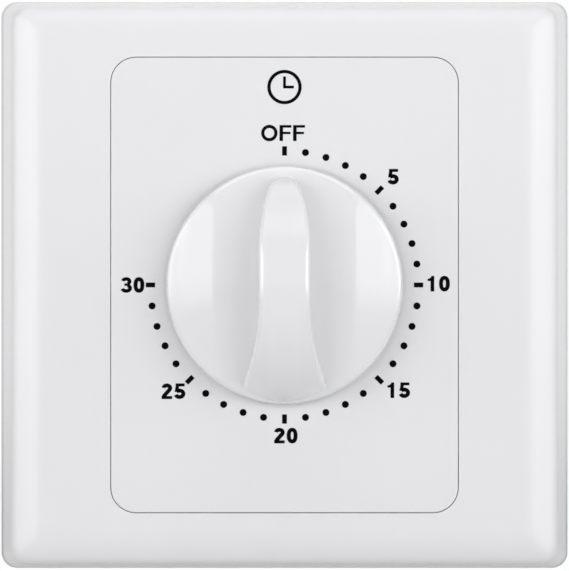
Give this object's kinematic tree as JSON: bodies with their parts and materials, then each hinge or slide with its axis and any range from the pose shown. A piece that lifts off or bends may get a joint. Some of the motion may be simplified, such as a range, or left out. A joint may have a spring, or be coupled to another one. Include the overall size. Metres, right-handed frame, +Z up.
{
  "type": "countdown timer switch",
  "caption": "Square wall plate with a rotary countdown timer: the knob winds a clockwork that turns it back to OFF along a printed dial, where a cam parts the contacts.",
  "frame": {"origin": "centre of the wall plate, on the wall plane between the two wall screws", "axes": "+Z up, +X to the right of a viewer in front of the plate, -Y out of the wall towards the viewer"},
  "size_m": [0.086, 0.0556, 0.086],
  "materials": {
    "white_plastic": "moulded, satin gloss",
    "base_plastic": "moulded, matt",
    "block_plastic": "pressed phenolic",
    "brass": "stamped",
    "bronze_leaf": "rolled strip",
    "steel": "turned",
    "plate_steel": "zinc plated",
    "spring_steel": "blued strip",
    "zinc_screws": "zinc plated",
    "silver": "bright"
  },
  "bodies": {
    "switch_body": {"outer_frame": "white_plastic", "dial_panel": "white_plastic", "base_plate": "base_plastic", "rear_housing": "base_plastic", "front_plate": "plate_steel", "rear_plate": "plate_steel", "plate_pillars": "brass", "front_bush": "brass", "rear_bush": "brass", "spring_barrel": "plate_steel", "mainspring": "spring_steel", "stop_pins": "steel", "contact_block": "block_plastic", "line_terminal": "brass", "load_terminal": "brass", "clamp_screws": "zinc_screws", "moving_leaf": "bronze_leaf", "fixed_leaf": "bronze_leaf", "moving_rivet": "silver", "fixed_rivet": "silver", "movement_screws": "zinc_screws", "housing_screws": "zinc_screws"},
    "knob_group": {"knob": "white_plastic", "knob_clip": "spring_steel", "main_shaft": "steel", "great_wheel": "brass", "clutch_spring": "spring_steel", "switch_cam": "block_plastic", "shaft_clip": "steel"},
    "second_group": {"second_arbor": "steel", "second_wheel": "brass"},
    "third_group": {"third_arbor": "steel", "third_wheel": "brass"},
    "escape_group": {"escape_arbor": "steel", "escape_wheel": "brass"},
    "anchor_group": {"anchor": "steel", "anchor_arbor": "steel", "balance_bar": "steel"}
  },
  "joints": [
    {"name": "knob_turn", "type": "hinge", "parent": "switch_body", "child": "knob_group", "pos_m": [0, 0, 0], "axis": [0, 1, 0], "range_deg": [0, 270], "deforming": ["mainspring", "moving_leaf"]},
    {"name": "second_spin", "type": "hinge", "parent": "switch_body", "child": "second_group", "pos_m": [-0.01248, 0, -0.00636], "axis": [0, 1, 0], "continuous": true},
    {"name": "third_spin", "type": "hinge", "parent": "switch_body", "child": "third_group", "pos_m": [-0.00523, 0, -0.01336], "axis": [0, 1, 0], "continuous": true},
    {"name": "escape_spin", "type": "hinge", "parent": "switch_body", "child": "escape_group", "pos_m": [0.00315, 0, -0.01395], "axis": [0, 1, 0], "continuous": true},
    {"name": "anchor_rock", "type": "hinge", "parent": "switch_body", "child": "anchor_group", "pos_m": [0.01004, 0, -0.01073], "axis": [0, 1, 0], "range_deg": [-4, 4]}
  ],
  "couplings": [
    {"joint": "second_spin", "follows": "knob_turn", "ratio": -6},
    {"joint": "third_spin", "follows": "knob_turn", "ratio": 36},
    {"joint": "escape_spin", "follows": "knob_turn", "ratio": -216}
  ]
}
